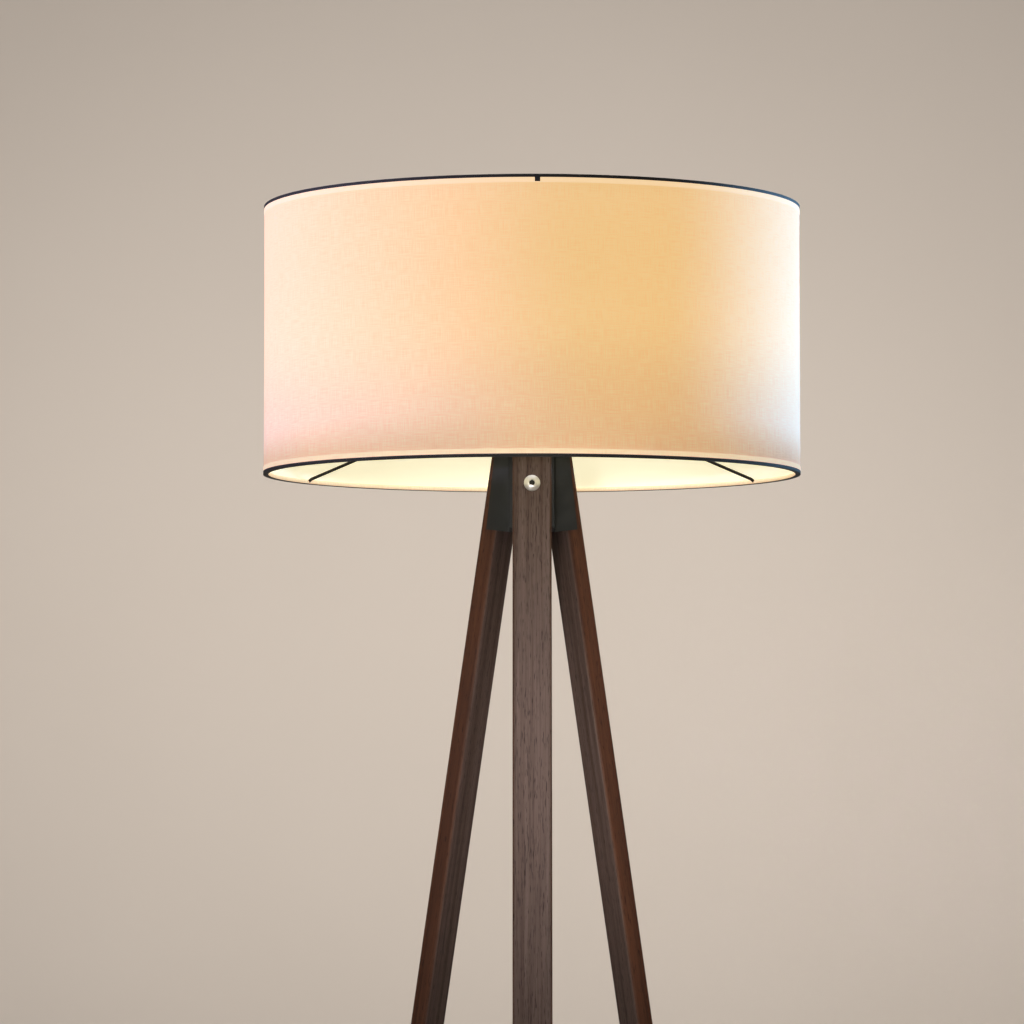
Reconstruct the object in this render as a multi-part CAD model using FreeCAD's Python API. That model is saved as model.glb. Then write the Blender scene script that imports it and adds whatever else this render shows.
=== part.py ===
"""Tripod floor lamp with a drum shade, as separate pieces, one STEP file for each.

Millimetres, +Z up.  The origin is on the floor on the axis of the tripod, and the
front leg stands towards -Y.  Every piece of the shade, the lampholder and the
column is turned about the Z axis.  The legs and their brackets are drawn in a leg
frame: x across the leg, y square out of its broad face, z up along the leg, with
the origin at the leg bolt in the middle of the wood.
"""
import FreeCAD, Part
import math
import os

os.makedirs("parts", exist_ok=True)

Vector = FreeCAD.Vector
UP = Vector(0, 0, 1)
ORIGIN = Vector(0, 0, 0)

# Overall
TOTAL_HEIGHT = 1500.0
SHADE_DIAMETER = 500.0
SHADE_HEIGHT = 250.0

# Legs
LEG_AZIMUTHS = {"front": -90.0, "rear_right": 30.0, "rear_left": 150.0}
LEG_WIDTH = 36.0
LEG_THICKNESS = 17.0
LEG_EDGE_RADIUS = 3.0
LEG_TOP_ABOVE_BOLT = 36.0
SPLAY = math.degrees(math.atan(0.1655))
BOLT_BELOW_SHADE = 11.0
BOLT_LEG_RADIUS = 30.06        # axis of the tripod to the middle of the wood at the bolt
PAD_THICKNESS = 3.0
PAD_WIDTH = 32.0
PAD_DEPTH = 14.0
PAD_CORNER_RADIUS = 3.0

# Leg brackets, folded from steel sheet: upright webs round the column, cheeks beside the legs
SHEET = 2.5
WEB_RADIUS = 12.0              # inner face of each web from the axis
BRACKET_BELOW_BOLT = 40.0
CHEEK_FALL = math.tan(math.radians(7.0))   # the cheek's lower edge falls towards the axis
CHEEK_EDGE_LOW = 0.7           # cheek edge from the middle of the wood, at the bottom
CHEEK_EDGE_HIGH = 3.7          # the same at the top
HUB_TOP = 1277.0
PLATE = 3.0
HUB_TOP_PLATE_RADIUS = 30.0
HUB_BOTTOM_PLATE_RADIUS = 22.0
HUB_BOTTOM_PLATE_Z = 1206.0
SPACER_HALF_WIDTH = 12.0       # wedge between each web and the sloping leg
SPACER_HALF_HEIGHT = 14.0

# Fasteners
BOLT_RADIUS = 3.0
BOLT_HEAD_RADIUS = 7.5
BOLT_HEAD_HEIGHT = 3.0
BOLT_HEAD_DOME = 14.0          # radius of the domed face
BOLT_LENGTH = 30.0
BOLT_SOCKET_FLATS = 5.0
BOLT_SOCKET_DEPTH = 2.4
WELD_NUT_SIDE = 10.0
WELD_NUT_HEIGHT = 5.0
THREAD_GAP = 0.03
COLUMN_NUT_FLATS = 14.0
COLUMN_NUT_HEIGHT = 6.0
COLUMN_WASHER_RADIUS = 9.0
COLUMN_WASHER_HEIGHT = 1.5

# Hollow column that carries the lampholder and guides the lead
COLUMN_RADIUS = 5.0
COLUMN_BORE_RADIUS = 3.6
COLUMN_BOTTOM = 1194.0
SLEEVE_RADIUS = 11.0
SLEEVE_WALL = 1.0
CABLE_BORE_RADIUS = 3.2
CABLE_BORE_LENGTH = 8.0
CABLE_BUSH_RADIUS = 7.5
CABLE_BUSH_GRIP = 4.0

# Lampholder for an E27 screw cap
HOLDER_BOTTOM = 1296.0
HOLDER_RADIUS = 20.0
HOLDER_MOUTH = 1350.0
HOLDER_SPLIT = 1314.0          # where the shell meets the base
HOLDER_WALL = 2.9
FLANGE_RADIUS = 23.5
FLANGE_TOP = 1326.0
FLANGE_HEIGHT = 3.0
SCREW_SHELL_RADIUS = 13.9
SCREW_SHELL_BORE = 13.22
SCREW_SHELL_BOTTOM = 1319.0
SCREW_SHELL_TOP = 1344.0

# Shade carrier
CARRIER_THICKNESS = 1.8
CARRIER_INNER_RADIUS = 21.0
CARRIER_OUTER_RADIUS = 26.0
RUNNING_GAP = 0.05
RING_NUT_RADIUS = 25.0
RING_NUT_HEIGHT = 8.0
RING_NUT_FLUTES = 24
FLUTE_RADIUS = 1.2
WIRE_RADIUS = 1.5
KNEE_BEFORE_RING = 3.8         # the arm turns down this far inside the bottom ring
KNEE_ABOVE_RING = 2.6

# Shade skin and edging
EDGING = 0.4
EDGING_HEIGHT = 2.8
FABRIC_THICKNESS = 0.8
LINER_THICKNESS = 0.5
JOINT_TAB_WIDTH = 4.8
JOINT_TAB_HEIGHT = 3.8
JOINT_TAB_OFFSET = 4.0

# Screw-in LED bulb
CAP_RADIUS = 13.15
CAP_BOTTOM = 1321.0
CAP_TOP = 1346.0
TIP_RADIUS = 4.5
GLOBE_RADIUS = 30.0
GLOBE_CENTRE = 1396.0
GLOBE_WALL = 1.2
HOUSING_TOP = 1374.0
HOUSING_WALL = 1.8
BULB_NECK_RADIUS = 13.5

# Worked out from the sizes above
SHADE_BOTTOM = TOTAL_HEIGHT - SHADE_HEIGHT
SHADE_RADIUS = SHADE_DIAMETER / 2
FABRIC_RADIUS = SHADE_RADIUS - EDGING
LINER_RADIUS = FABRIC_RADIUS - FABRIC_THICKNESS
RING_RADIUS = LINER_RADIUS - LINER_THICKNESS - WIRE_RADIUS - RUNNING_GAP
RING_LOW_Z = SHADE_BOTTOM + EDGING + WIRE_RADIUS + RUNNING_GAP
RING_HIGH_Z = TOTAL_HEIGHT - EDGING - WIRE_RADIUS - RUNNING_GAP
BOLT_Z = SHADE_BOTTOM - BOLT_BELOW_SHADE
HALF_WIDTH = LEG_WIDTH / 2
HALF_THICKNESS = LEG_THICKNESS / 2
HALF_CHANNEL = HALF_WIDTH + SHEET
LEG_SIN = math.sin(math.radians(SPLAY))
LEG_COS = math.cos(math.radians(SPLAY))
CARRIER_BOTTOM = FLANGE_TOP + RUNNING_GAP
CARRIER_TOP = CARRIER_BOTTOM + CARRIER_THICKNESS
CARRIER_MIDDLE = CARRIER_BOTTOM + CARRIER_THICKNESS / 2
FAR = 2000.0                   # longer than the lamp, for trimming


def save(name, *solids):
    """Write one node; several solids stay separate inside it."""
    shape = solids[0] if len(solids) == 1 else Part.makeCompound(list(solids))
    shape.exportStep("parts/%s.step" % name)


def cylinder(radius, low, high):
    return Part.makeCylinder(radius, high - low, Vector(0, 0, low), UP)


def tube(outer, inner, low, high):
    return cylinder(outer, low, high).cut(cylinder(inner, low - 1, high + 1))


def lathe(*outline):
    """Turn an outline of (radius, height) points about the Z axis."""
    points = [Vector(radius, 0, height) for radius, height in outline]
    face = Part.Face(Part.makePolygon(points + points[:1]))
    return face.revolve(ORIGIN, UP, 360)


def hexagon(flats, low, high):
    corner = flats / math.sqrt(3)
    points = [
        Vector(corner * math.cos(math.radians(60 * i)), corner * math.sin(math.radians(60 * i)), low)
        for i in range(7)
    ]
    return Part.Face(Part.makePolygon(points)).extrude(Vector(0, 0, high - low))


def block(x_range, y_range, z_range):
    size = [high - low for low, high in (x_range, y_range, z_range)]
    return Part.makeBox(*size, Vector(x_range[0], y_range[0], z_range[0]))


def lean(shape):
    """Carry a shape from the leg frame to a leg that stands towards +Y."""
    placed = shape.copy()
    placed.rotate(ORIGIN, Vector(1, 0, 0), SPLAY)
    placed.translate(Vector(0, BOLT_LEG_RADIUS, BOLT_Z))
    return placed


def to_side(shape, azimuth):
    """Turn a shape that is drawn towards +Y to its azimuth about the axis."""
    placed = shape.copy()
    placed.rotate(ORIGIN, UP, azimuth - 90)
    return placed


def to_leg(shape, azimuth):
    """Carry a shape from the leg frame to its leg."""
    return to_side(lean(shape), azimuth)


def leaned(outward, along):
    """Distance from the axis and height of a point in a leg's middle plane."""
    return (
        BOLT_LEG_RADIUS + outward * LEG_COS - along * LEG_SIN,
        BOLT_Z + outward * LEG_SIN + along * LEG_COS,
    )


def edges_along_z(shape, low_length):
    """Straight edges along Z that are longer than low_length."""
    return [
        edge for edge in shape.Edges
        if abs(edge.tangentAt(edge.FirstParameter).z) > 0.999 and edge.Length > low_length
    ]


def bore_across(radius, y_from, y_to):
    """A round bar along the leg frame's y axis, through the bolt centre."""
    return Part.makeCylinder(radius, abs(y_to - y_from), Vector(0, min(y_from, y_to), 0), Vector(0, 1, 0))


# ---------------------------------------------------------------- legs and feet

def leg():
    length = BOLT_Z / LEG_COS + LEG_WIDTH
    wood = block((-HALF_WIDTH, HALF_WIDTH), (-HALF_THICKNESS, HALF_THICKNESS), (-length, LEG_TOP_ABOVE_BOLT))
    wood = wood.makeFillet(LEG_EDGE_RADIUS, edges_along_z(wood, length))
    return wood.cut(bolt_hole())


def below_level(height):
    return block((-FAR, FAR), (-FAR, FAR), (-FAR, height))


def foot_radius():
    """Distance from the axis to the middle of the wood where it meets its pad."""
    return BOLT_LEG_RADIUS + (BOLT_Z - PAD_THICKNESS) * LEG_SIN / LEG_COS


def foot_pad(azimuth):
    middle = foot_radius()
    pad = block(
        (-PAD_WIDTH / 2, PAD_WIDTH / 2), (middle - PAD_DEPTH / 2, middle + PAD_DEPTH / 2), (0, PAD_THICKNESS)
    )
    pad = pad.makeFillet(PAD_CORNER_RADIUS, edges_along_z(pad, PAD_THICKNESS / 2))
    pad.rotate(ORIGIN, UP, azimuth - 90)
    return pad


# ---------------------------------------------------------------- hub

def bracket():
    """A channel drawn towards +Y: an upright web, and cheeks that follow the leg's slope."""
    low_y, low_z = leaned(CHEEK_EDGE_LOW, -BRACKET_BELOW_BOLT)
    high_y, high_z = leaned(CHEEK_EDGE_HIGH, LEG_TOP_ABOVE_BOLT + 3 * SHEET)
    heel_z = low_z - (low_y - WEB_RADIUS) * CHEEK_FALL
    side = [(WEB_RADIUS, heel_z), (low_y, low_z), (high_y, high_z), (WEB_RADIUS, high_z)]
    points = [Vector(-HALF_CHANNEL, y, z) for y, z in side]
    face = Part.Face(Part.makePolygon(points + points[:1]))
    channel = face.extrude(Vector(2 * HALF_CHANNEL, 0, 0))
    backs = [edge for edge in edges_along_z(channel, LEG_WIDTH) if edge.BoundBox.YMax < WEB_RADIUS + 1]
    channel = channel.makeFillet(SHEET, backs)
    slot = block((-HALF_WIDTH, HALF_WIDTH), (WEB_RADIUS + SHEET, FAR), (0, FAR))
    return channel.cut(slot).cut(above_hub()).cut(lean(bolt_hole()))


def bolt_hole():
    return bore_across(BOLT_RADIUS + THREAD_GAP, -FAR, FAR)


def above_hub():
    return block((-FAR, FAR), (-FAR, FAR), (HUB_TOP, FAR))


def hub_bottom_plate():
    """A three-sided plate whose flats lie on the inner faces of the webs."""
    plate = tube(
        HUB_BOTTOM_PLATE_RADIUS, COLUMN_RADIUS + THREAD_GAP, HUB_BOTTOM_PLATE_Z, HUB_BOTTOM_PLATE_Z + PLATE
    )
    for azimuth in LEG_AZIMUTHS.values():
        web_and_beyond = block((-FAR, FAR), (WEB_RADIUS, FAR), (0, FAR))
        plate = plate.cut(to_side(web_and_beyond, azimuth))
    return plate


def leg_spacer():
    """Wedge that fills the gap between the web and the back of the leg at the bolt."""
    wedge = block(
        (-SPACER_HALF_WIDTH, SPACER_HALF_WIDTH), (WEB_RADIUS + SHEET, BOLT_LEG_RADIUS),
        (BOLT_Z - SPACER_HALF_HEIGHT, BOLT_Z + SPACER_HALF_HEIGHT),
    )
    wood_and_beyond = block((-FAR, FAR), (-HALF_THICKNESS, FAR), (-FAR, FAR))
    return wedge.cut(lean(wood_and_beyond)).cut(lean(bolt_hole()))


def leg_bolt():
    """Domed furniture bolt with a hexagon socket, along the leg frame's y axis."""
    head = cylinder(BOLT_HEAD_RADIUS, 0, BOLT_HEAD_HEIGHT)
    head = head.common(Part.makeSphere(BOLT_HEAD_DOME, Vector(0, 0, BOLT_HEAD_HEIGHT - BOLT_HEAD_DOME)))
    socket = hexagon(BOLT_SOCKET_FLATS, BOLT_HEAD_HEIGHT - BOLT_SOCKET_DEPTH, BOLT_HEAD_HEIGHT + 1)
    bolt = head.fuse(cylinder(BOLT_RADIUS, -BOLT_LENGTH, 0)).cut(socket).removeSplitter()
    bolt.rotate(ORIGIN, Vector(1, 0, 0), -90)
    bolt.translate(Vector(0, HALF_THICKNESS, 0))
    return bolt


def weld_nut():
    """Square nut on the inner face of a web, drawn towards +Y."""
    half = WELD_NUT_SIDE / 2
    middle = BOLT_Z - (BOLT_LEG_RADIUS - WEB_RADIUS) * LEG_SIN / LEG_COS
    nut = block((-half, half), (WEB_RADIUS - WELD_NUT_HEIGHT, WEB_RADIUS), (middle - half, middle + half))
    return nut.cut(lean(bolt_hole()))


# ---------------------------------------------------------------- column

COLUMN_TOP = HOLDER_BOTTOM + 7.0
LOWER_WASHER_Z = HUB_BOTTOM_PLATE_Z - COLUMN_WASHER_HEIGHT
LOWER_NUT_Z = LOWER_WASHER_Z - COLUMN_NUT_HEIGHT
UPPER_WASHER_Z = HUB_TOP + PLATE
UPPER_NUT_Z = UPPER_WASHER_Z + COLUMN_WASHER_HEIGHT


def column_nut(low):
    outer = hexagon(COLUMN_NUT_FLATS, low, low + COLUMN_NUT_HEIGHT)
    return outer.cut(cylinder(COLUMN_RADIUS + THREAD_GAP, low - 1, low + COLUMN_NUT_HEIGHT + 1))


def column_washer(low):
    return tube(COLUMN_WASHER_RADIUS, COLUMN_RADIUS + THREAD_GAP, low, low + COLUMN_WASHER_HEIGHT)


def cable_bush():
    """Smooth-mouthed bush pressed over the bottom end of the column."""
    bottom = COLUMN_BOTTOM - CABLE_BORE_LENGTH
    body = cylinder(CABLE_BUSH_RADIUS, bottom, COLUMN_BOTTOM + CABLE_BUSH_GRIP)
    rim = [edge for edge in body.Edges if edge.BoundBox.ZMax < bottom + 1]
    body = body.makeFillet(2.0, rim)
    body = body.cut(cylinder(CABLE_BORE_RADIUS, bottom - 1, COLUMN_BOTTOM))
    return body.cut(cylinder(COLUMN_RADIUS + THREAD_GAP, COLUMN_BOTTOM, COLUMN_BOTTOM + 2 * CABLE_BUSH_GRIP))


# ---------------------------------------------------------------- lampholder

INSERT_RADIUS = HOLDER_RADIUS - HOLDER_WALL - RUNNING_GAP
INSERT_BOTTOM = HOLDER_SPLIT - 6.0
TERMINAL_X = 8.5


def holder_base():
    """Domed cap that screws on the column and carries the shell."""
    inner = HOLDER_RADIUS - HOLDER_WALL
    return lathe(
        (COLUMN_RADIUS + THREAD_GAP, HOLDER_BOTTOM), (13.0, HOLDER_BOTTOM), (16.5, HOLDER_BOTTOM + 2),
        (HOLDER_RADIUS, HOLDER_BOTTOM + 8), (HOLDER_RADIUS, HOLDER_SPLIT), (inner, HOLDER_SPLIT),
        (inner, HOLDER_BOTTOM + 9), (14.0, HOLDER_BOTTOM + 5), (10.0, HOLDER_BOTTOM + 5),
        (10.0, COLUMN_TOP), (COLUMN_RADIUS + THREAD_GAP, COLUMN_TOP),
    )


def holder_shell():
    """Threaded outer shell with the flange that the shade carrier sits on."""
    inner = HOLDER_RADIUS - HOLDER_WALL
    return lathe(
        (HOLDER_RADIUS, HOLDER_SPLIT), (HOLDER_RADIUS, FLANGE_TOP - FLANGE_HEIGHT),
        (FLANGE_RADIUS, FLANGE_TOP - FLANGE_HEIGHT), (FLANGE_RADIUS, FLANGE_TOP),
        (HOLDER_RADIUS, FLANGE_TOP), (HOLDER_RADIUS, HOLDER_MOUTH), (15.2, HOLDER_MOUTH),
        (15.2, HOLDER_MOUTH - 3), (inner, HOLDER_MOUTH - 3), (inner, HOLDER_SPLIT),
    )


def holder_insert():
    """Insulating core: a cup for the screw shell over a block with the terminals."""
    body = cylinder(INSERT_RADIUS, INSERT_BOTTOM, HOLDER_MOUTH - 3 - RUNNING_GAP)
    cup = cylinder(SCREW_SHELL_RADIUS + THREAD_GAP, SCREW_SHELL_BOTTOM, HOLDER_MOUTH)
    well = cylinder(6.0, SCREW_SHELL_BOTTOM - 3, SCREW_SHELL_BOTTOM + 1)
    body = body.cut(cup).cut(well)
    for side in (-1, 1):
        wire_way = cylinder(2.0, INSERT_BOTTOM - 1, SCREW_SHELL_BOTTOM - 6)
        wire_way.translate(Vector(side * TERMINAL_X, 6.0, 0))
        screw_hole = cylinder(2.0 + THREAD_GAP, INSERT_BOTTOM - 1, INSERT_BOTTOM + 5)
        screw_hole.translate(Vector(side * TERMINAL_X, -5.0, 0))
        body = body.cut(wire_way).cut(screw_hole)
    return body


def terminal_screw(side):
    """Slotted terminal screw in the underside of the insert."""
    head = cylinder(3.2, INSERT_BOTTOM - 2, INSERT_BOTTOM)
    slot = block((-4, 4), (-0.4, 0.4), (INSERT_BOTTOM - 3, INSERT_BOTTOM - 1.2))
    screw = head.cut(slot).fuse(cylinder(2.0, INSERT_BOTTOM, INSERT_BOTTOM + 4.5))
    screw.translate(Vector(side * TERMINAL_X, -5.0, 0))
    return screw


def centre_contact():
    """Strip that stands in the well and meets the tip of the bulb."""
    low = SCREW_SHELL_BOTTOM - 3
    foot = block((-4, 4), (-2, 2), (low, low + 0.8))
    post = block((-1.5, 1.5), (-2, 2), (low + 0.8, CAP_BOTTOM - 2 - RUNNING_GAP))
    return foot.fuse(post).removeSplitter()


def shade_ring_nut():
    low = CARRIER_TOP + RUNNING_GAP
    high = low + RING_NUT_HEIGHT
    nut = tube(RING_NUT_RADIUS, HOLDER_RADIUS + RUNNING_GAP, low, high)
    for i in range(RING_NUT_FLUTES):
        flute = cylinder(FLUTE_RADIUS, low + 2, high + 1)
        flute.translate(Vector(RING_NUT_RADIUS + 0.3, 0, 0))
        flute.rotate(ORIGIN, UP, 360 / RING_NUT_FLUTES * i)
        nut = nut.cut(flute)
    return nut


# ---------------------------------------------------------------- shade

def ring(height):
    return Part.makeTorus(RING_RADIUS, WIRE_RADIUS, Vector(0, 0, height), UP)


def rod(start, end):
    path = end.sub(start)
    return Part.makeCylinder(WIRE_RADIUS, path.Length, start, path)


def shade_arm(azimuth):
    """Wire from the carrier down to the bottom ring, with a short steep end."""
    inner = Vector(0, CARRIER_OUTER_RADIUS - 2, CARRIER_MIDDLE)
    knee = Vector(0, RING_RADIUS - KNEE_BEFORE_RING, RING_LOW_Z + KNEE_ABOVE_RING)
    end = Vector(0, RING_RADIUS, RING_LOW_Z)
    arm = rod(inner, knee).fuse(rod(knee, end)).fuse(Part.makeSphere(WIRE_RADIUS, knee))
    arm.rotate(ORIGIN, UP, azimuth - 90)
    core = cylinder(CARRIER_OUTER_RADIUS, CARRIER_BOTTOM - 10, CARRIER_TOP + 10)
    return arm.cut(core).cut(ring(RING_LOW_Z))


def edging(edge, inward):
    """Folded edging tape: a band outside the fabric and a strip over its edge."""
    strip_inner = RING_RADIUS - WIRE_RADIUS
    return lathe(
        (strip_inner, edge), (SHADE_RADIUS, edge), (SHADE_RADIUS, edge + inward * EDGING_HEIGHT),
        (FABRIC_RADIUS, edge + inward * EDGING_HEIGHT), (FABRIC_RADIUS, edge + inward * EDGING),
        (strip_inner, edge + inward * EDGING),
    )


def edging_joint_tab():
    """Small tab that closes the ends of the top edging, at the front."""
    high = TOTAL_HEIGHT - EDGING_HEIGHT
    band = tube(SHADE_RADIUS, FABRIC_RADIUS, high - JOINT_TAB_HEIGHT, high)
    half = JOINT_TAB_WIDTH / 2
    return band.common(block((JOINT_TAB_OFFSET - half, JOINT_TAB_OFFSET + half), (-FAR, 0), (0, FAR)))


# ---------------------------------------------------------------- bulb

def bulb_outline_radius(height):
    """Radius of the globe at a height."""
    return math.sqrt(GLOBE_RADIUS ** 2 - (height - GLOBE_CENTRE) ** 2)


def bulb_cap():
    """Metal screw cap, with its thread left plain."""
    return tube(CAP_RADIUS, CAP_RADIUS - 0.6, CAP_BOTTOM, CAP_TOP)


def bulb_cap_insulator():
    return lathe(
        (0, CAP_BOTTOM - 1.2), (TIP_RADIUS, CAP_BOTTOM - 1.2), (CAP_RADIUS - 0.6, CAP_BOTTOM),
        (CAP_RADIUS - 0.6, CAP_BOTTOM + 2), (0, CAP_BOTTOM + 2),
    )


def bulb_tip():
    return cylinder(TIP_RADIUS, CAP_BOTTOM - 2, CAP_BOTTOM - 1.2)


def bulb_housing():
    """Conical body between the cap and the globe."""
    top_radius = bulb_outline_radius(HOUSING_TOP)
    return lathe(
        (CAP_RADIUS - 0.6 - HOUSING_WALL, CAP_TOP - 8), (CAP_RADIUS - 0.6, CAP_TOP - 8),
        (CAP_RADIUS - 0.6, CAP_TOP), (BULB_NECK_RADIUS, CAP_TOP), (BULB_NECK_RADIUS, HOLDER_MOUTH + 3),
        (top_radius, HOUSING_TOP), (top_radius - HOUSING_WALL, HOUSING_TOP),
        (BULB_NECK_RADIUS - HOUSING_WALL, HOLDER_MOUTH + 3),
        (CAP_RADIUS - 0.6 - HOUSING_WALL, CAP_TOP),
    )


def bulb_globe():
    centre = Vector(0, 0, GLOBE_CENTRE)
    shell = Part.makeSphere(GLOBE_RADIUS, centre).cut(Part.makeSphere(GLOBE_RADIUS - GLOBE_WALL, centre))
    return shell.cut(below_level(HOUSING_TOP))


def led_board():
    return cylinder(bulb_outline_radius(HOUSING_TOP) - HOUSING_WALL - 1, HOUSING_TOP, HOUSING_TOP + 1.6)


# ---------------------------------------------------------------- write every node

for side, azimuth in LEG_AZIMUTHS.items():
    save("leg_" + side, to_leg(leg(), azimuth).cut(below_level(PAD_THICKNESS)))
    save("foot_pad_" + side, foot_pad(azimuth))
    save("leg_bracket_" + side, to_side(bracket(), azimuth))
    save("shade_arm_" + side, shade_arm(azimuth))

save("leg_bolts", *[to_leg(leg_bolt(), azimuth) for azimuth in LEG_AZIMUTHS.values()])
save("leg_spacers", *[to_side(leg_spacer(), azimuth) for azimuth in LEG_AZIMUTHS.values()])
save("weld_nuts", *[to_side(weld_nut(), azimuth) for azimuth in LEG_AZIMUTHS.values()])
save("hub_top_plate", tube(HUB_TOP_PLATE_RADIUS, COLUMN_RADIUS + THREAD_GAP, HUB_TOP, HUB_TOP + PLATE))
save("hub_bottom_plate", hub_bottom_plate())

save("column_tube", tube(COLUMN_RADIUS, COLUMN_BORE_RADIUS, COLUMN_BOTTOM, COLUMN_TOP))
save("column_nuts", column_nut(LOWER_NUT_Z), column_nut(UPPER_NUT_Z))
save("column_washers", column_washer(LOWER_WASHER_Z), column_washer(UPPER_WASHER_Z))
save("column_sleeve", tube(SLEEVE_RADIUS, SLEEVE_RADIUS - SLEEVE_WALL, HUB_TOP + PLATE, HOLDER_BOTTOM))
save("cable_bush", cable_bush())

save("holder_base", holder_base())
save("holder_shell", holder_shell())
save("holder_insert", holder_insert())
save("holder_screw_shell", tube(SCREW_SHELL_RADIUS, SCREW_SHELL_BORE, SCREW_SHELL_BOTTOM, SCREW_SHELL_TOP))
save("holder_centre_contact", centre_contact())
save("terminal_screws", terminal_screw(-1), terminal_screw(1))
save("shade_ring_nut", shade_ring_nut())

save("shade_carrier_ring", tube(CARRIER_OUTER_RADIUS, CARRIER_INNER_RADIUS, CARRIER_BOTTOM, CARRIER_TOP))
save("shade_ring_bottom", ring(RING_LOW_Z))
save("shade_ring_top", ring(RING_HIGH_Z))
skin_low = SHADE_BOTTOM + EDGING
skin_high = TOTAL_HEIGHT - EDGING
save("shade_fabric", tube(FABRIC_RADIUS, LINER_RADIUS, skin_low, skin_high))
save("shade_liner", tube(LINER_RADIUS, LINER_RADIUS - LINER_THICKNESS, skin_low, skin_high))
save("shade_edging_bottom", edging(SHADE_BOTTOM, 1))
save("shade_edging_top", edging(TOTAL_HEIGHT, -1))
save("edging_joint_tab", edging_joint_tab())

save("bulb_cap", bulb_cap())
save("bulb_cap_insulator", bulb_cap_insulator())
save("bulb_tip", bulb_tip())
save("bulb_housing", bulb_housing())
save("bulb_globe", bulb_globe())
save("bulb_led_board", led_board())
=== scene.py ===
"""Looks of the tripod floor lamp: cloth drum shade, stained legs, black hub, lit bulb.

Metres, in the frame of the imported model: the axis of the lamp is Z, the floor is
z = 0 and the front leg stands towards -Y.
"""

import bpy
import math
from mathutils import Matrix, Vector


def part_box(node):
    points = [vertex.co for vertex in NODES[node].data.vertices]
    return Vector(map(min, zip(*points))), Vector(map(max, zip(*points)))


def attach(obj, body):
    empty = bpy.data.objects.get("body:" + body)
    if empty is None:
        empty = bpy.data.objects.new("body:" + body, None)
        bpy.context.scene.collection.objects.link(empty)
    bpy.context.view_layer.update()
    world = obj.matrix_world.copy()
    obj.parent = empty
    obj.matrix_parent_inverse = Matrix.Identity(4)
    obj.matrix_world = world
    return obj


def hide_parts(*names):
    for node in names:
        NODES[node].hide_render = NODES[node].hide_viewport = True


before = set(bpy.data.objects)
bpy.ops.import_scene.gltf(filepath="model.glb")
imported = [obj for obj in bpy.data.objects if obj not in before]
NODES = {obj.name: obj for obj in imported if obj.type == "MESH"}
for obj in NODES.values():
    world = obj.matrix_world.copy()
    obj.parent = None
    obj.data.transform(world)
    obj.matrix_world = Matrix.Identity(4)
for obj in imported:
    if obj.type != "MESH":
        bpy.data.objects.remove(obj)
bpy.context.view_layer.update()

MM = 0.001
SIDES = {"front": -90.0, "rear_right": 30.0, "rear_left": 150.0}
SPLAY_SLOPE = 0.1655           # sideways run of a leg for each unit of its height
BOLT_HEIGHT, BOLT_RADIUS = 1.239, 0.03006       # where a bolt's axis crosses its leg's middle line
# Within SOCKET_REACH of its axis each bolt head is painted near-black as painted shade in its socket.
SOCKET_REACH = 2.7 * MM        # from a bolt's axis to the edge of its socket


# ---------------------------------------------------------------- shader workshop

class Field:
    """One socket of a material; arithmetic on it adds Math nodes."""

    def __init__(self, shop, socket):
        self.shop = shop
        self.socket = socket

    def math(self, operation, *others):
        return self.shop.node("ShaderNodeMath", {"operation": operation}, [self, *others])

    def __add__(self, other):
        return self.math("ADD", other)

    def __sub__(self, other):
        return self.math("SUBTRACT", other)

    def __rsub__(self, other):
        return self.shop.node("ShaderNodeMath", {"operation": "SUBTRACT"}, [other, self])

    def __mul__(self, other):
        return self.math("MULTIPLY", other)

    def __truediv__(self, other):
        return self.math("DIVIDE", other)

    __radd__ = __add__
    __rmul__ = __mul__

    def below(self, edge):
        return self.math("LESS_THAN", edge)

    def size(self):
        return self.math("ABSOLUTE")

    def sine(self):
        return self.math("SINE")

    def ease(self, low, high):
        """Smooth rise from 0 at low to 1 at high."""
        settings = {"interpolation_type": "SMOOTHSTEP"}
        return self.shop.node("ShaderNodeMapRange", settings, [self, low, high, 0.0, 1.0])


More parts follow.
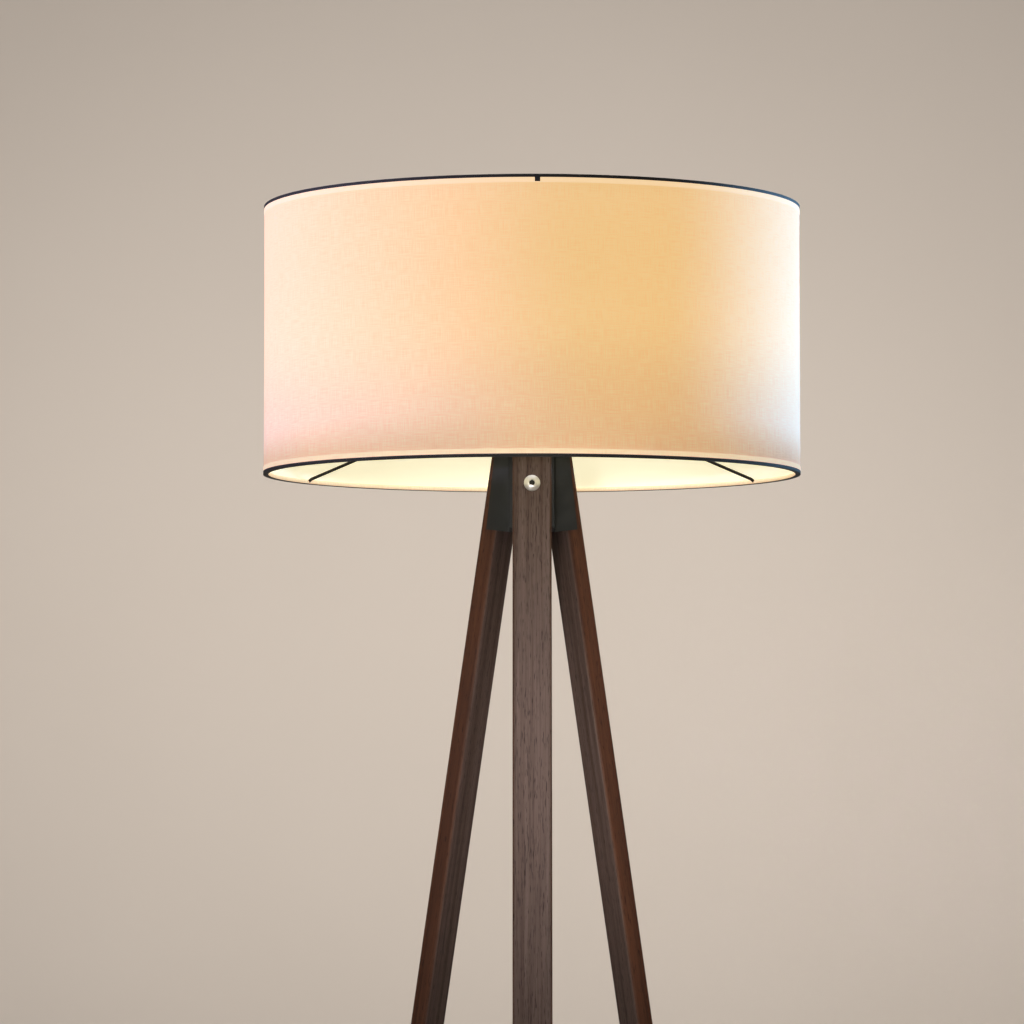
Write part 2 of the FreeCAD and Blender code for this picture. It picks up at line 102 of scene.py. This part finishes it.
class Shop:
    """A material under construction."""

    def __init__(self, name):
        self.material = bpy.data.materials.new(name)
        self.material.use_nodes = True
        self.tree = self.material.node_tree
        self.tree.nodes.clear()
        self.place = self.node("ShaderNodeTexCoord", {}, {}, "Object")

    def node(self, kind, settings, inputs, output=0):
        """Any node: its settings go in first, then the values or links of its sockets."""
        made = self.tree.nodes.new(kind)
        for key, value in settings.items():
            setattr(made, key, value)
        named = inputs.items() if isinstance(inputs, dict) else enumerate(inputs)
        for key, value in named:
            if isinstance(value, Field):
                self.tree.links.new(value.socket, made.inputs[key])
            elif value is not None:
                made.inputs[key].default_value = value
        return Field(self, made.outputs[output])

    def along(self, direction, source=None):
        """Distance along a direction, in metres."""
        settings = {"operation": "DOT_PRODUCT"}
        return self.node("ShaderNodeVectorMath", settings, [source or self.place, direction], "Value")

    def join(self, x, y, z):
        return self.node("ShaderNodeCombineXYZ", {}, [x, y, z])

    def noise(self, scale, detail=2.0, place=None, roughness=0.5):
        sockets = {"Vector": place or self.place, "Scale": scale, "Detail": detail,
                   "Roughness": roughness}
        return self.node("ShaderNodeTexNoise", {}, sockets)

    def mix(self, share, first, second):
        """Blend of two colours."""
        first = (*first, 1.0) if isinstance(first, tuple) else first
        second = (*second, 1.0) if isinstance(second, tuple) else second
        return self.node("ShaderNodeMix", {"data_type": "RGBA"}, {0: share, 6: first, 7: second}, 2)

    def relief(self, height, depth, strength=1.0):
        sockets = {"Height": height, "Distance": depth, "Strength": strength}
        return self.node("ShaderNodeBump", {}, sockets)

    def finish(self, colour, roughness, relief=None, **constants):
        """Close the material with one Principled shader."""
        colour = (*colour, 1.0) if isinstance(colour, tuple) else colour
        sockets = {"Base Color": colour, "Roughness": roughness, "Normal": relief}
        sockets.update({key.replace("_", " "): value for key, value in constants.items()})
        shader = self.node("ShaderNodeBsdfPrincipled", {}, sockets)
        made = self.tree.nodes.new("ShaderNodeOutputMaterial")
        self.tree.links.new(shader.socket, made.inputs["Surface"])
        return self.material


def around(shop):
    """Angle about the lamp's axis, in turns, with its jump at the back."""
    x = shop.along((1, 0, 0))
    back = shop.along((0, -1, 0))
    return x.math("ARCTAN2", back) / (2 * math.pi)


# ---------------------------------------------------------------- materials

def leg_axes(azimuth):
    """Across, outward and along directions of the leg at an azimuth."""
    radial = Vector((math.cos(math.radians(azimuth)), math.sin(math.radians(azimuth)), 0))
    up = Vector((0, 0, 1))
    splay = math.atan(SPLAY_SLOPE)
    along = up * math.cos(splay) - radial * math.sin(splay)
    outward = radial * math.cos(splay) + up * math.sin(splay)
    return along.cross(outward), outward, along


def stained_wood(name, azimuth, offset):
    """Dark stained open-pored wood: grey-brown broad faces and redder edges, partly from the cut of the
    grain and partly painted sheen on the broad faces and painted shade on the edges.
    """
    shop = Shop(name)
    across, outward, along = leg_axes(azimuth)
    u, v, w = shop.along(tuple(across)), shop.along(tuple(outward)), shop.along(tuple(along))
    drift = shop.noise(3.0, 3.0, shop.join(u * 6.0, v * 6.0, w + offset))
    bent = u + (drift - 0.5) * 0.006
    fibre = shop.noise(1.0, 4.0, shop.join(bent * 900.0, v * 500.0, w * 11.0 + offset), 0.65)
    band = shop.noise(1.0, 2.0, shop.join(bent * 170.0, v * 120.0, w * 2.2 + offset))
    pore = shop.noise(1.0, 1.0, shop.join(u * 1900.0, v * 1100.0, w * 95.0 + offset)).ease(0.60, 0.70)
    facing = shop.node("ShaderNodeNewGeometry", {}, {}, "Normal")
    # Painted sheen and shade: broad faces lighter and greyer, edges redder and darker, partly the wood's
    # own colour.
    broad_face_sheen_share = shop.along(tuple(outward), facing).size().ease(0.55, 0.95)
    face_colour_with_sheen = shop.mix(band.ease(0.30, 0.70), (0.078, 0.049, 0.039), (0.122, 0.084, 0.072))
    edge_colour_with_shade = shop.mix(band.ease(0.30, 0.70), (0.052, 0.020, 0.011), (0.104, 0.042, 0.022))
    colour = shop.mix(broad_face_sheen_share, edge_colour_with_shade, face_colour_with_sheen)
    colour = shop.mix(fibre.ease(0.35, 0.75) * 0.45, colour, (0.022, 0.012, 0.009))
    colour = shop.mix(pore * 0.7, colour, (0.010, 0.006, 0.005))
    relief = shop.relief(fibre * -0.6 - pore, 0.00012, 0.8)
    rough = 0.50 + fibre * 0.14 + pore * 0.2
    return shop.finish(colour, rough, relief, Specular_IOR_Level=0.14)


def powder_coat(name, tone=(0.009, 0.010, 0.011), rough=0.55):
    """Black coating with a fine orange-peel skin."""
    shop = Shop(name)
    peel = shop.noise(900.0, 3.0)
    cloud = shop.noise(35.0, 3.0)
    lighter = tuple(1.6 * part + 0.003 for part in tone)
    colour = shop.mix(cloud.ease(0.35, 0.7), tone, lighter)
    relief = shop.relief(peel, 0.00006, 0.7)
    return shop.finish(colour, rough + cloud * 0.14, relief, Specular_IOR_Level=0.35)


def plated_metal(name, tone, rough):
    """Bright plating with fine polishing marks and faint dulling."""
    shop = Shop(name)
    grain_scale = 1500.0
    x, y, z = shop.along((1, 0, 0)), shop.along((0, 1, 0)), shop.along((0, 0, 1))
    drawn = shop.join(x * grain_scale, y * grain_scale, z * (grain_scale * 0.12))
    marks = shop.noise(1.0, 3.0, drawn)
    cloud = shop.noise(260.0, 3.0)
    duller = tuple(part * 0.72 for part in tone)
    colour = shop.mix(cloud.ease(0.42, 0.75), tone, duller)
    relief = shop.relief(marks, 0.00003, 0.6)
    return shop.finish(colour, rough + marks * 0.12 + cloud * 0.08, relief, Metallic=1.0)


def bolt_metal(name, tone, rough):
    """Plated bolt heads with painted shade in their hexagon sockets."""
    shop = Shop(name)
    gap = None
    for azimuth in SIDES.values():
        across, _, along = leg_axes(azimuth)
        centre = Vector((BOLT_RADIUS * math.cos(math.radians(azimuth)),
                         BOLT_RADIUS * math.sin(math.radians(azimuth)), BOLT_HEIGHT))
        u, w = shop.along(tuple(across)), shop.along(tuple(along)) - along.dot(centre)
        ring = (u * u + w * w).math("SQRT")
        gap = ring if gap is None else gap.math("MINIMUM", ring)
    cloud = shop.noise(260.0, 3.0)
    bright = shop.mix(cloud.ease(0.42, 0.75), tone, tuple(part * 0.8 for part in tone))
    # Painted shade: the hexagon sockets are painted near-black.
    colour = shop.mix(gap.ease(SOCKET_REACH - 0.2 * MM, SOCKET_REACH), (0.03, 0.03, 0.03), bright)
    return shop.finish(colour, rough + cloud * 0.1, shop.relief(cloud, 0.00003, 0.5), Metallic=1.0)


def threaded(name, pitch, tone, rough, metallic):
    """A turned surface with a screw thread of the given pitch about the lamp's axis; its grooves are
    painted darker as painted shade.
    """
    shop = Shop(name)
    turns = shop.along((0, 0, 1)) / pitch + around(shop)
    ridge = (turns * (2 * math.pi)).sine() * 0.5 + 0.5
    scuff = shop.noise(400.0, 3.0)
    groove_shade_tone = tuple(part * 0.55 for part in tone)
    # Painted shade: the thread's grooves are darkened.
    colour = shop.mix(ridge.ease(0.0, 0.6), groove_shade_tone, tone)
    relief = shop.relief(ridge + scuff * 0.1, pitch * 0.25, 0.8)
    return shop.finish(colour, rough + scuff * 0.12, relief, Metallic=metallic)


def moulded_plastic(name, tone, rough=0.42):
    """Plastic or glazed insulator with a faint cloudiness and a fine spark-eroded skin."""
    shop = Shop(name)
    spark = shop.noise(1400.0, 2.0)
    cloud = shop.noise(60.0, 3.0)
    lighter = tuple(min(1.0, part * 1.12 + 0.002) for part in tone)
    colour = shop.mix(cloud.ease(0.35, 0.7), tone, lighter)
    return shop.finish(colour, rough + cloud * 0.1, shop.relief(spark, 0.00003, 0.6))


def weave(shop, pitch):
    """Plain weave round the drum: thread height, and the slubs along both threads."""
    angle = around(shop)
    z = shop.along((0, 0, 1))
    girth = 2 * math.pi * CLOTH_RADIUS
    columns = round(girth / pitch)
    s = angle * columns
    t = z / pitch
    slub_up = shop.noise(1.0, 2.0, shop.join(s, t * 0.035, 0.0))
    slub_round = shop.noise(1.0, 2.0, shop.join(s * 0.035, t, 7.0))
    over = (s * math.pi).sine() * (t * math.pi).sine()
    thread = over * 0.5 + 0.5
    height = thread * 0.6 + slub_up * 0.5 + slub_round * 0.6
    return height, slub_up, slub_round


def shade_cloth_paint():
    """Cream linen that the bulb shines through, with turned hems at both rims."""
    shop = Shop("cream_linen")
    height, slub_up, slub_round = weave(shop, 0.55 * MM)
    z = shop.along((0, 0, 1))
    level = (z - SKIN_LOW) / (SKIN_HIGH - SKIN_LOW)
    from_edge = 0.5 - (level - 0.5).size()
    hem = from_edge.below(HEM_SHARE)
    cloud = shop.noise(7.0, 3.0)
    x, y = shop.along((1, 0, 0)), shop.along((0, 1, 0))
    patch = shop.noise(3.2, 1.5, shop.join(x, y, z * 1.4 + 3.0))
    threads = slub_up * 0.5 + slub_round * 0.5
    base = shop.mix(threads.ease(0.35, 0.65), (0.58, 0.51, 0.43), (0.70, 0.63, 0.56))
    glow_low = (0.28, 0.115, 0.002)
    glow_mid = (0.69, 0.42, 0.140)
    glow = shop.mix(level.ease(-0.05, 0.55), glow_low, glow_mid)
    glow = shop.mix(level.ease(0.80, 1.0) * 0.35, glow, (0.69, 0.42, 0.16))
    glow = shop.mix(patch.ease(0.40, 0.75) * 0.45, glow, (0.70, 0.35, 0.045))
    glow = shop.mix((threads + cloud * 0.5 - 0.25).ease(0.42, 0.66) * 0.22, glow, (0.74, 0.46, 0.15))
    glow = shop.mix(hem * 0.45, glow, (0.86, 0.66, 0.42))
    relief = shop.relief(height, 0.00018, 0.55)
    sockets = {"Emission_Color": glow, "Emission_Strength": 1.0, "Specular_IOR_Level": 0.15}
    return shop.finish(base, 0.86 + threads * 0.08, relief, Sheen_Weight=0.12, Sheen_Roughness=0.5,
                       **sockets)


def liner_paint():
    """Smooth white sheet behind the cloth, bright with the bulb's light."""
    shop = Shop("liner_sheet")
    z = shop.along((0, 0, 1))
    cloud = shop.noise(9.0, 3.0)
    pebble = shop.noise(700.0, 2.0)
    base = shop.mix(cloud.ease(0.35, 0.7), (0.86, 0.83, 0.70), (0.92, 0.89, 0.78))
    level = (z - SKIN_LOW) / (SKIN_HIGH - SKIN_LOW)
    glow = shop.mix((level - 0.58).size().ease(0.0, 0.6), (0.56, 0.53, 0.36), (0.45, 0.42, 0.29))
    relief = shop.relief(pebble, 0.00003, 0.5)
    return shop.finish(base, 0.55 + cloud * 0.1, relief, Emission_Color=glow, Emission_Strength=1.0)


def edging_paint():
    """Black folded tape with a fine twill."""
    shop = Shop("black_edging_tape")
    turns = around(shop) * 2600.0
    z = shop.along((0, 0, 1)) / (0.6 * MM)
    twill = ((turns + z) * math.pi).sine() * 0.5 + 0.5
    fuzz = shop.noise(300.0, 3.0)
    share = (twill * 0.6 + fuzz * 0.4).ease(0.2, 0.8)
    colour = shop.mix(share, (0.010, 0.010, 0.011), (0.030, 0.029, 0.030))
    relief = shop.relief(twill, 0.00008, 0.6)
    return shop.finish(colour, 0.62 + fuzz * 0.2, relief)


def opal_paint():
    """Milky diffuser, lit from its board."""
    shop = Shop("opal_diffuser")
    z = shop.along((0, 0, 1))
    low, high = (corner[2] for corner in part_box("bulb_globe"))
    rise = ((z - low) / (high - low)).ease(0.0, 0.8)
    cloud = shop.noise(90.0, 2.0)
    glow = shop.mix(rise * 0.8 + cloud * 0.1, (1.0, 0.78, 0.50), (1.0, 0.90, 0.70))
    return shop.finish((0.92, 0.90, 0.86), 0.28 + cloud * 0.08, None,
                       Emission_Color=glow, Emission_Strength=3.2, Coat_Weight=0.2)


def felt_paint():
    """Pressed dark felt."""
    shop = Shop("pressed_felt")
    fibre = shop.noise(1600.0, 4.0, None, 0.7)
    cloud = shop.noise(120.0, 3.0)
    colour = shop.mix(fibre.ease(0.3, 0.7), (0.030, 0.027, 0.024), (0.085, 0.078, 0.070))
    relief = shop.relief(fibre + cloud, 0.0003, 0.8)
    return shop.finish(colour, 0.93, relief, Sheen_Weight=0.3, Sheen_Roughness=0.6)


def backdrop_paint():
    """Matt pale paper."""
    shop = Shop("studio_paper")
    cloud = shop.noise(0.8, 2.0)
    colour = shop.mix(cloud, (0.62, 0.565, 0.51), (0.66, 0.605, 0.55))
    return shop.finish(colour, 0.9)


# ---------------------------------------------------------------- cloth skin

_, liner_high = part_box("shade_liner")
skin_low_corner, skin_high_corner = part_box("shade_fabric")
ring_low, ring_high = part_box("shade_ring_bottom")
SKIN_LOW, SKIN_HIGH = skin_low_corner[2], skin_high_corner[2]
CLOTH_RADIUS = skin_high_corner[0]
LINER_RADIUS = liner_high[0]
WIRE = (ring_high[2] - ring_low[2]) / 2
RING_Z_LOW = (ring_high[2] + ring_low[2]) / 2
RING_Z_HIGH = SKIN_LOW + SKIN_HIGH - RING_Z_LOW
RING_RADIUS = ring_high[0] - WIRE
CLOTH = 0.30 * MM
HEM = 7.0 * MM
HEM_SHARE = HEM / (SKIN_HIGH - SKIN_LOW)
HEM_LIFT = 0.25 * MM
HEM_EDGE = 0.5 * MM            # height of the step where the hem ends
AIR = 0.05 * MM                # between the cloth and the liner or a ring
SEAM_HALF = 6.0 * MM
SEAM_LIFT = 0.22 * MM
FLAP = 2.5 * MM
ROUND_STEPS = 384


def hem_arc(radius, centre_z, sign):
    """Cloth round the rim wire, from its outer edge inwards; sign is -1 at the bottom rim."""
    points = []
    for step in range(9):
        turn = math.radians(90 + 20 * step)
        height = centre_z + sign * radius * math.sin(turn)
        points.append((RING_RADIUS + radius * math.cos(turn), height))
    return points


def cloth_outline():
    """Closed outline of the cloth as (radius, height): outer face, hems, then the inner face."""
    wall_inner = LINER_RADIUS + AIR
    wrap_out = WIRE + AIR + CLOTH
    wrap_in = WIRE + AIR
    flap_r = RING_RADIUS + WIRE - 0.3 * MM
    hem_radius = CLOTH_RADIUS + HEM_LIFT
    heights = [SKIN_LOW + HEM + (SKIN_HIGH - SKIN_LOW - 2 * HEM) * i / 24 for i in range(25)]
    outer = [(CLOTH_RADIUS, SKIN_LOW + 0.02 * MM)]
    outer += [(hem_radius, SKIN_LOW + 0.3 * MM), (hem_radius, SKIN_LOW + HEM - HEM_EDGE)]
    outer += [(CLOTH_RADIUS, z) for z in heights]
    outer += [(hem_radius, SKIN_HIGH - HEM + HEM_EDGE), (hem_radius, SKIN_HIGH - 0.3 * MM)]
    outer += [(CLOTH_RADIUS, SKIN_HIGH - 0.02 * MM)]
    top = hem_arc(wrap_out, RING_Z_HIGH, 1) + [(flap_r, RING_Z_HIGH - FLAP)]
    top_back = [(flap_r + CLOTH, RING_Z_HIGH - FLAP)] + hem_arc(wrap_in, RING_Z_HIGH, 1)[::-1]
    inner = [(wall_inner, SKIN_HIGH - CLOTH), (wall_inner, SKIN_LOW + CLOTH)]
    low = hem_arc(wrap_in, RING_Z_LOW, -1) + [(flap_r + CLOTH, RING_Z_LOW + FLAP)]
    low_back = [(flap_r, RING_Z_LOW + FLAP)] + hem_arc(wrap_out, RING_Z_LOW, -1)[::-1]
    return outer + top + top_back + inner + low + low_back


def turned_mesh(name, outline, steps, lift=None):
    """A closed ring: an outline turned about Z, with an optional lift of its radius."""
    vertices = []
    for step in range(steps):
        angle = 2 * math.pi * step / steps
        for radius, height in outline:
            reach = radius + (lift(angle, radius, height) if lift else 0.0)
            vertices.append((reach * math.cos(angle), reach * math.sin(angle), height))
    count = len(outline)
    faces = []
    for step in range(steps):
        here, there = step * count, (step + 1) % steps * count
        for i in range(count):
            j = (i + 1) % count
            faces.append((here + i, there + i, there + j, here + j))
    mesh = bpy.data.meshes.new(name)
    mesh.from_pydata(vertices, [], faces)
    mesh.update()
    mesh.validate()
    piece = bpy.data.objects.new(name, mesh)
    bpy.context.scene.collection.objects.link(piece)
    return piece


def seam_lift(angle, radius, height):
    """The glued overlap at the back stands proud by one cloth, and the drum is a touch uneven."""
    off_seam = abs(math.remainder(angle - math.pi / 2, 2 * math.pi)) * radius
    on_seam = 1.0 - min(1.0, max(0.0, (off_seam - SEAM_HALF) / (0.6 * MM)))
    level = (height - SKIN_LOW) / (SKIN_HIGH - SKIN_LOW)
    middle = max(0.0, math.sin(math.pi * min(1.0, max(0.0, level))))
    waves = math.sin(3 * angle + 0.6) + 0.6 * math.sin(7 * angle + 2.1) - 1.6
    uneven = 0.12 * MM * middle * waves
    if radius < CLOTH_RADIUS - 0.1 * MM:
        return 0.0
    return SEAM_LIFT * on_seam * (middle > 0.03) + uneven


def shade_smooth(piece, angle=math.radians(40)):
    """Smooth shading that keeps edges sharper than the angle."""
    for polygon in piece.data.polygons:
        polygon.use_smooth = True
    with bpy.context.temp_override(object=piece, active_object=piece, selected_objects=[piece],
                                   selected_editable_objects=[piece]):
        bpy.ops.object.shade_smooth_by_angle(angle=angle)


cloth = turned_mesh("shade_cloth", cloth_outline(), ROUND_STEPS, seam_lift)
shade_smooth(cloth)
cloth.data.materials.append(shade_cloth_paint())
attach(cloth, "shade")
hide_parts("shade_fabric")


# ---------------------------------------------------------------- paint the solids

def dress(material, *names):
    """Give a material to solids of the CAD model."""
    for name in names:
        slots = NODES[name].data.materials
        slots.clear()
        slots.append(material)


GRAIN_STEP = 4.7               # shifts the grain from leg to leg

for place, (side, azimuth) in enumerate(SIDES.items()):
    dress(stained_wood("stained_wood_" + side, azimuth, GRAIN_STEP * place), "leg_" + side)
coat = powder_coat("black_powder_coat")
dress(coat, *("leg_bracket_" + side for side in SIDES), "hub_top_plate", "hub_bottom_plate",
      "column_sleeve")
wire = powder_coat("black_coated_wire", (0.006, 0.006, 0.007), 0.40)
dress(wire, *("shade_arm_" + side for side in SIDES), "shade_carrier_ring", "shade_ring_top",
      "shade_ring_bottom")
dress(bolt_metal("satin_nickel", (0.66, 0.64, 0.61), 0.34), "leg_bolts")
dress(plated_metal("zinc_plate", (0.56, 0.58, 0.60), 0.32), "weld_nuts", "column_nuts", "column_washers",
      "terminal_screws")
dress(threaded("column_thread", 1.0 * MM, (0.55, 0.56, 0.58), 0.3, 1.0), "column_tube")
dress(threaded("cap_thread", 3.6 * MM, (0.72, 0.70, 0.66), 0.25, 1.0), "bulb_cap")
dress(threaded("brass_thread", 3.6 * MM, (0.72, 0.52, 0.24), 0.3, 1.0), "holder_screw_shell")
dress(threaded("shell_thread", 2.5 * MM, (0.024, 0.024, 0.025), 0.42, 0.0), "holder_shell")
dress(moulded_plastic("black_moulding", (0.022, 0.022, 0.023)), "leg_spacers", "holder_base",
      "shade_ring_nut", "cable_bush", "bulb_cap_insulator")
dress(moulded_plastic("glazed_insulator", (0.80, 0.78, 0.73), 0.18), "holder_insert")
dress(plated_metal("plain_brass", (0.74, 0.55, 0.26), 0.28), "holder_centre_contact", "bulb_tip")
dress(moulded_plastic("white_moulding", (0.80, 0.79, 0.76), 0.36), "bulb_housing")
dress(plated_metal("board_aluminium", (0.78, 0.78, 0.78), 0.4), "bulb_led_board")
dress(opal_paint(), "bulb_globe")
dress(liner_paint(), "shade_liner")
dress(edging_paint(), "shade_edging_top", "shade_edging_bottom", "edging_joint_tab")
dress(felt_paint(), *("foot_pad_" + side for side in SIDES))


# ---------------------------------------------------------------- studio

ROOM_RADIUS, SWEEP_RADIUS, WALL_HEIGHT, ROOM_STEPS = 11.0, 1.5, 5.5, 96
LIGHT_HEIGHT = 1.15            # of both side lights; their rays rise past the flags onto the shade
FLAG_LOW, FLAG_TOP = 0.50, 1.205


def backdrop():
    """Pale round floor that sweeps up into a wall, far enough out to be seen from every side."""
    path = [(0.0, 0.0), (ROOM_RADIUS - SWEEP_RADIUS, 0.0)]
    for step in range(1, 13):
        turn = math.radians(7.5 * step)
        inward = SWEEP_RADIUS * (1 - math.sin(turn))
        path.append((ROOM_RADIUS - inward, SWEEP_RADIUS * (1 - math.cos(turn))))
    path.append((ROOM_RADIUS, WALL_HEIGHT))
    vertices = [(radius * math.cos(turn), radius * math.sin(turn), height)
                for turn in (2 * math.pi * step / ROOM_STEPS for step in range(ROOM_STEPS))
                for radius, height in path[1:]] + [(0, 0, 0)]
    rows, faces = len(path) - 1, []
    for step in range(ROOM_STEPS):
        here, there = step * rows, (step + 1) % ROOM_STEPS * rows
        faces.append((len(vertices) - 1, here, there))
        faces += [(here + i, here + i + 1, there + i + 1, there + i) for i in range(rows - 1)]
    mesh = bpy.data.meshes.new("backdrop")
    mesh.from_pydata(vertices, [], faces)
    for polygon in mesh.polygons:
        polygon.use_smooth = True
    piece = bpy.data.objects.new("backdrop", mesh)
    bpy.context.scene.collection.objects.link(piece)
    mesh.materials.append(backdrop_paint())


def flag(name, left_end, right_end):
    """Dark card that keeps a side light off the legs; the camera doesn't see it."""
    (x1, y1), (x2, y2) = left_end, right_end
    mesh = bpy.data.meshes.new(name)
    corners = [(x1, y1, FLAG_LOW), (x2, y2, FLAG_LOW), (x2, y2, FLAG_TOP), (x1, y1, FLAG_TOP)]
    mesh.from_pydata(corners, [], [(0, 1, 2, 3)])
    card = bpy.data.objects.new(name, mesh)
    card.visible_camera = False
    bpy.context.scene.collection.objects.link(card)
    mesh.materials.append(moulded_plastic(name + "_card", (0.02, 0.02, 0.02), 0.8))


def area_light(name, place, aim, width, height, power, colour, spread=180.0):
    data = bpy.data.lights.new(name, "AREA")
    data.shape = "RECTANGLE"
    data.size, data.size_y = width, height
    data.energy = power
    data.color = colour
    data.spread = math.radians(spread)
    light = bpy.data.objects.new(name, data)
    light.location = place
    light.rotation_euler = (Vector(aim) - Vector(place)).to_track_quat("-Z", "Y").to_euler()
    light.visible_camera = False
    bpy.context.scene.collection.objects.link(light)


def bulb_light():
    """Light of the bulb: a ball just larger than the globe."""
    low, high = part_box("bulb_globe")
    data = bpy.data.lights.new("bulb_light", "POINT")
    data.energy = 0.5
    data.color = (1.0, 0.93, 0.72)
    data.shadow_soft_size = (high[0] - low[0]) / 2 + 1.5 * MM
    light = bpy.data.objects.new("bulb_light", data)
    light.location = (0, 0, high[2] - (high[0] - low[0]) / 2)
    bpy.context.scene.collection.objects.link(light)


def camera():
    """Long lens just below the shade, tilted up a little."""
    data = bpy.data.cameras.new("camera")
    data.sensor_width = 36.0
    data.lens = 166.8
    data.clip_end = 50.0
    seat = bpy.data.objects.new("camera", data)
    seat.location = (-0.0185, -4.41, SKIN_LOW - 0.2959)
    seat.rotation_euler = (math.radians(93.392), 0, 0)
    bpy.context.scene.collection.objects.link(seat)
    bpy.context.scene.camera = seat


backdrop()
area_light("key", (-3.0, -0.55, LIGHT_HEIGHT), (0, 0, 1.30), 0.9, 0.05, 4.3, (0.66, 0.62, 1.0), 40.0)
flag("key_flag", (-1.6, -1.4), (-1.6, 0.9))
area_light("flank", (2.3, 1.3, LIGHT_HEIGHT), (0, 0, 1.30), 0.8, 0.05, 7.5, (0.25, 0.60, 1.0), 40.0)
flag("flank_flag", (0.8, 1.6), (1.6, 0.0))
area_light("front", (0.4, -4.0, 2.0), (0, 0, 0.8), 1.6, 1.6, 8.0, (1.0, 0.97, 0.95))
area_light("leg_wash", (-0.4, -3.2, 1.0), (0, 0, 0.98), 0.35, 0.35, 0.60, (1.0, 0.95, 0.92), 11.0)
area_light("overhead", (0, 0, 6.5), (0, 0.001, 0), 5.0, 5.0, 150.0, (1.0, 0.97, 0.93))
area_light("wall_wash", (0, 5.5, 2.4), (0, ROOM_RADIUS, 1.7), 3.5, 1.2, 75.0, (1.0, 0.95, 0.90),
           100.0)
bulb_light()
world = bpy.data.worlds.new("studio")
bpy.context.scene.world = world
world.use_nodes = True
surround = world.node_tree.nodes["Background"]
surround.inputs["Color"].default_value = (1.0, 0.97, 0.94, 1.0)
surround.inputs["Strength"].default_value = 0.16
bpy.context.scene.view_settings.view_transform = "Standard"
camera()
